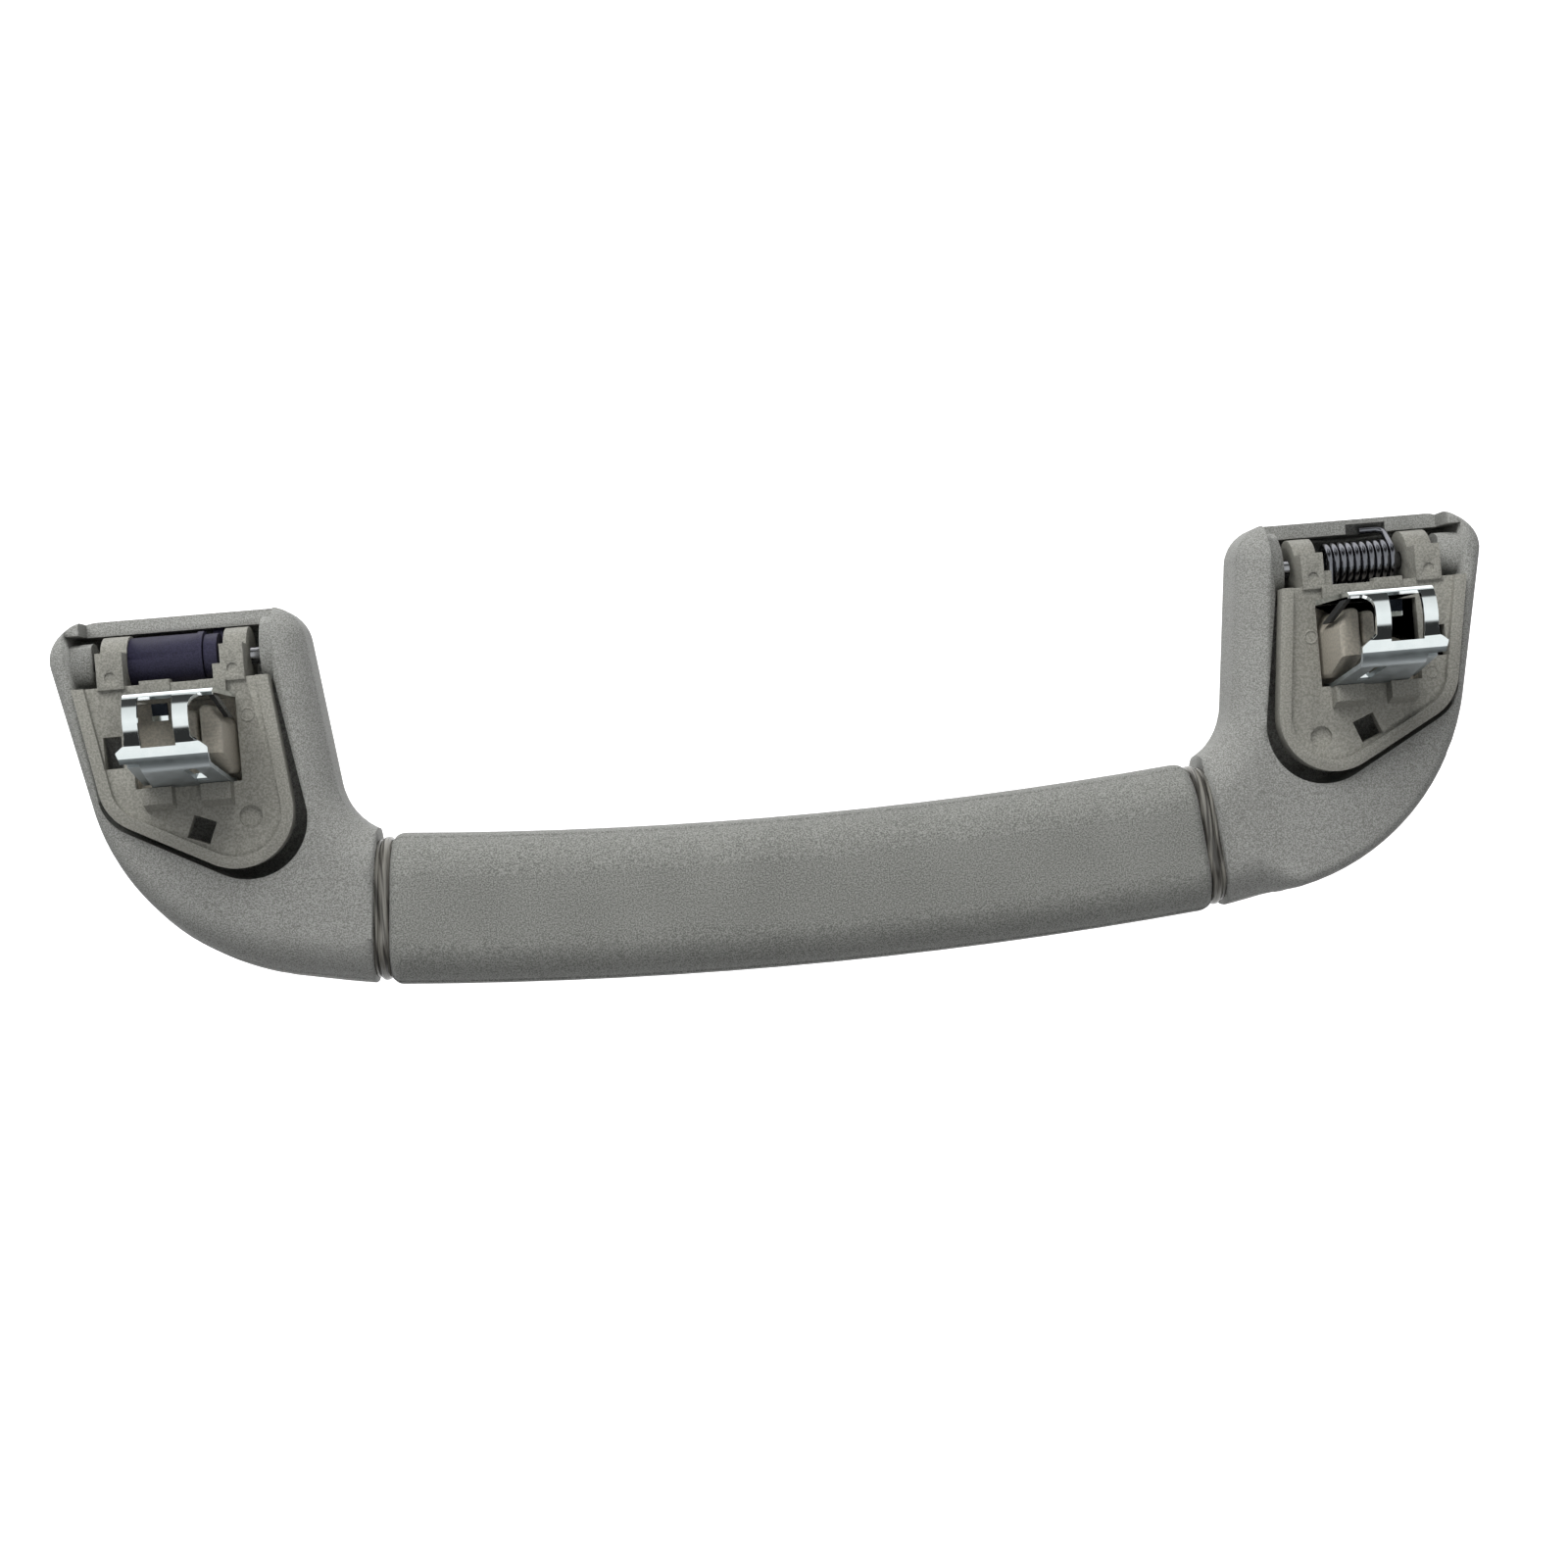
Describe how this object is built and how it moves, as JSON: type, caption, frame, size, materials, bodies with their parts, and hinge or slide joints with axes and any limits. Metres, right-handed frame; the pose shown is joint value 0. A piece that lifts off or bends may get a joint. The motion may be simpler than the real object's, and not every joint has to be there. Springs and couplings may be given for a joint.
{
  "type": "roof grab handle",
  "caption": "Folding roof grab handle: bowed grip with a soft sleeve, end housings with mounting brackets, metal spring clips, hinge pins, return spring and damper.",
  "frame": {"origin": "midway between the two spring clips, on the plane of the bracket rims, which is the plane of the roof lining the handle is pushed against", "axes": "+X along the handle from the damper's end to the spring's end, +Y from the grip to the hinges, +Z from the handle into the roof, the way the clips point"},
  "size_m": [0.2448, 0.0691, 0.037],
  "materials": {
    "handle_plastic": "fine grained, matt",
    "grip_skin": "soft-touch skin with a fine grain",
    "bracket_plastic": "plain moulded, matt",
    "clip_steel": "bright plated spring steel",
    "cap_plastic": "plain moulded, slightly soft sheen",
    "damper_plastic": "black, satin",
    "pin_steel": "ground steel",
    "spring_steel": "dark drawn wire",
    "seal_rubber": "black, matt"
  },
  "bodies": {
    "right_bracket": {"right_bracket": "bracket_plastic", "right_clip": "clip_steel", "torsion_spring": "spring_steel"},
    "handle": {"handle_body": "handle_plastic", "grip_sleeve": "grip_skin", "left_hinge_pin": "pin_steel", "right_hinge_pin": "pin_steel", "damper_rotor": "damper_plastic", "damper_seal_ring": "seal_rubber"},
    "left_bracket": {"left_bracket": "bracket_plastic", "left_clip": "clip_steel", "damper_housing": "damper_plastic", "damper_end_cap": "damper_plastic"},
    "right_lock_cap": {"right_lock_cap": "cap_plastic"},
    "left_lock_cap": {"left_lock_cap": "cap_plastic"}
  },
  "joints": [
    {"name": "handle_swing", "type": "hinge", "parent": "right_bracket", "child": "handle", "pos_m": [0, 0.016, -0.009], "axis": [1, 0, 0], "range_deg": [0, 90], "stiffness_Nm_per_rad": 0.03, "springref_deg": -114.59, "deforming": ["torsion_spring"]},
    {"name": "left_bracket_hinge", "type": "hinge", "parent": "handle", "child": "left_bracket", "pos_m": [0, 0.016, -0.009], "axis": [1, 0, 0], "range_deg": [-90, 0]},
    {"name": "right_cap", "type": "slide", "parent": "right_bracket", "child": "right_lock_cap", "axis": [0, 0, -1], "range_m": [0, 0.006]},
    {"name": "left_cap", "type": "slide", "parent": "left_bracket", "child": "left_lock_cap", "axis": [0, 0, -1], "range_m": [0, 0.006]}
  ],
  "couplings": [
    {"joint": "left_bracket_hinge", "follows": "handle_swing", "ratio": -1}
  ]
}
